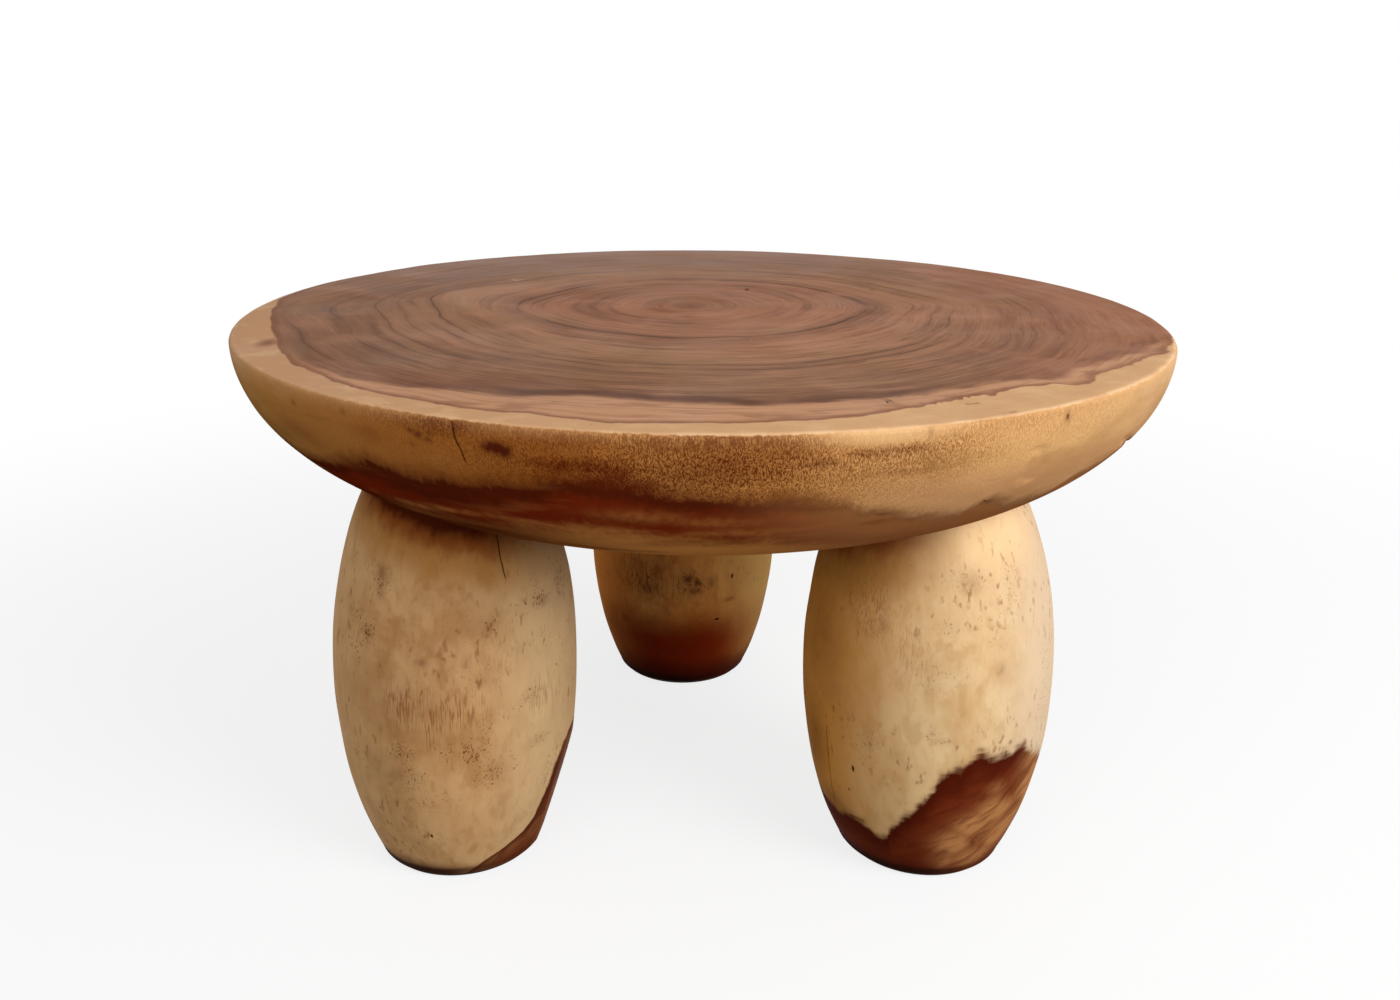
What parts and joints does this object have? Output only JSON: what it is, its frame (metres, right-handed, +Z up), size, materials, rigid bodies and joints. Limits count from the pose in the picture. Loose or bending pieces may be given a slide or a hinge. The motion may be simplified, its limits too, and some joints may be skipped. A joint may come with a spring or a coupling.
{
  "type": "round coffee table",
  "caption": "Low round solid-wood table: a thick carved top with a bowl-shaped belly standing on barrel legs.",
  "frame": {"origin": "on the floor under the middle of the round top", "axes": "+Z up to the table top, -Y towards the viewer of the picture, +X to that viewer's right"},
  "size_m": [0.8498, 0.8498, 0.45],
  "materials": {
    "top_wood": "satin",
    "leg_wood": "satin",
    "bolt_steel": "satin",
    "insert_brass": "satin",
    "pad_rubber": "matte"
  },
  "bodies": {
    "root": {"table_top": "top_wood", "leg_front_left": "leg_wood", "leg_front_right": "leg_wood", "leg_back": "leg_wood", "hanger_bolt_front_left": "bolt_steel", "hanger_bolt_front_right": "bolt_steel", "hanger_bolt_back": "bolt_steel", "threaded_insert_front_left": "insert_brass", "threaded_insert_front_right": "insert_brass", "threaded_insert_back": "insert_brass", "foot_pad_front_left": "pad_rubber", "foot_pad_front_right": "pad_rubber", "foot_pad_back": "pad_rubber"}
  },
  "joints": []
}
